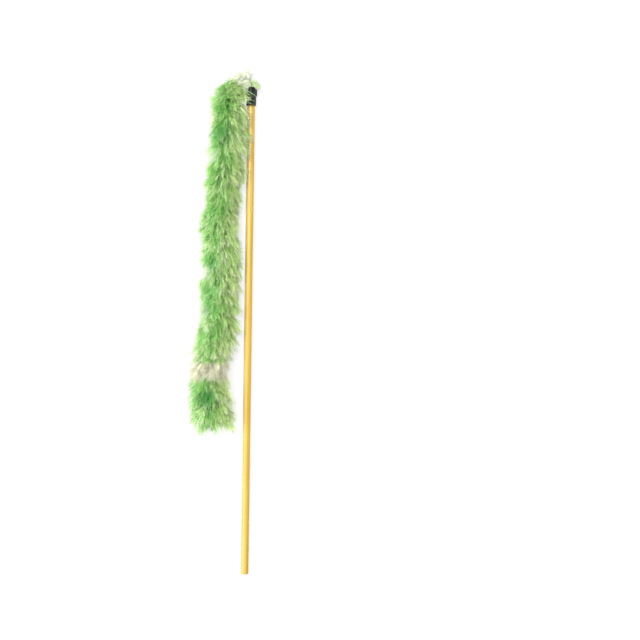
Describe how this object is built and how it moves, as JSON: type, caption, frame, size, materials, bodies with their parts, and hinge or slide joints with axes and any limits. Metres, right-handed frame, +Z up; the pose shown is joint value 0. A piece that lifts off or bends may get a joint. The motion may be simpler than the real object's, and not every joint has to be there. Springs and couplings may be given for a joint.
{
  "type": "feather cat wand",
  "caption": "Feather cat wand: a slim lacquered wooden dowel with a long limp tail of dyed feathers on a string, bound to its tip with black tape, for teasing a cat.",
  "frame": {"origin": "bottom centre of the whole wand's bounding box, on the table that it lies on", "axes": "+Y along the dowel towards its tip, +Z up from the table, +X from the tail towards the dowel"},
  "size_m": [0.0562, 0.4218, 0.028],
  "materials": {
    "lacquered_wood": "gloss",
    "black_tape": "satin",
    "cotton": "matte",
    "dyed_feather": "matte",
    "undyed_feather": "matte"
  },
  "bodies": {
    "wand": {"wooden_dowel": "lacquered_wood", "tape_binding": "black_tape", "thread_whipping": "cotton", "string_bound": "cotton", "side_tuft": "dyed_feather"},
    "fold": {"string_fold": "cotton", "crown_tuft": "undyed_feather"},
    "tail_1": {"string_1": "cotton", "feather_whorl_01": "dyed_feather", "feather_whorl_02": "dyed_feather"},
    "tail_2": {"string_2": "cotton", "feather_whorl_03": "dyed_feather", "feather_whorl_04": "dyed_feather"},
    "tail_3": {"string_3": "cotton", "feather_whorl_05": "dyed_feather", "feather_whorl_06": "dyed_feather"},
    "tail_4": {"string_4": "cotton", "feather_whorl_07": "dyed_feather", "feather_whorl_08": "dyed_feather"},
    "tail_5": {"string_5": "cotton", "feather_whorl_09": "dyed_feather", "feather_whorl_10": "dyed_feather"},
    "tail_6": {"string_6": "cotton", "feather_whorl_11": "dyed_feather", "feather_whorl_12": "dyed_feather"},
    "tail_7": {"string_7": "cotton", "feather_whorl_13": "dyed_feather", "feather_whorl_14": "undyed_feather"},
    "tail_8": {"string_8": "cotton", "feather_whorl_15": "dyed_feather", "feather_whorl_16": "dyed_feather", "end_knot": "cotton"}
  },
  "joints": [
    {"name": "fold_swing", "type": "hinge", "parent": "wand", "child": "fold", "pos_m": [0.02166, 0.19834, 0.00965], "axis": [0, 0, -1], "range_deg": [0, 80]},
    {"name": "tail_lift_1", "type": "hinge", "parent": "fold", "child": "tail_1", "pos_m": [0.00472, 0.20083, 0.01087], "axis": [-1, 0, 0], "range_deg": [-50, 60]},
    {"name": "tail_bend_2", "type": "hinge", "parent": "tail_1", "child": "tail_2", "pos_m": [0.00237, 0.1646, 0.01089], "axis": [0, 0, -1], "range_deg": [0, 26]},
    {"name": "tail_lift_3", "type": "hinge", "parent": "tail_2", "child": "tail_3", "pos_m": [0.00091, 0.12798, 0.01089], "axis": [-1, 0, 0], "range_deg": [-26, 26]},
    {"name": "tail_bend_4", "type": "hinge", "parent": "tail_3", "child": "tail_4", "pos_m": [-0.00179, 0.0914, 0.01089], "axis": [0, 0, -1], "range_deg": [0, 26]},
    {"name": "tail_lift_5", "type": "hinge", "parent": "tail_4", "child": "tail_5", "pos_m": [-0.00185, 0.05474, 0.01089], "axis": [-1, 0, 0], "range_deg": [-26, 26]},
    {"name": "tail_bend_6", "type": "hinge", "parent": "tail_5", "child": "tail_6", "pos_m": [-0.00277, 0.01806, 0.01089], "axis": [0, 0, -1], "range_deg": [-2, 26]},
    {"name": "tail_lift_7", "type": "hinge", "parent": "tail_6", "child": "tail_7", "pos_m": [-0.00652, -0.01834, 0.01089], "axis": [-1, 0, 0], "range_deg": [-26, 26]},
    {"name": "tail_bend_8", "type": "hinge", "parent": "tail_7", "child": "tail_8", "pos_m": [-0.00935, -0.05485, 0.01089], "axis": [0, 0, -1], "range_deg": [-12, 26]}
  ]
}
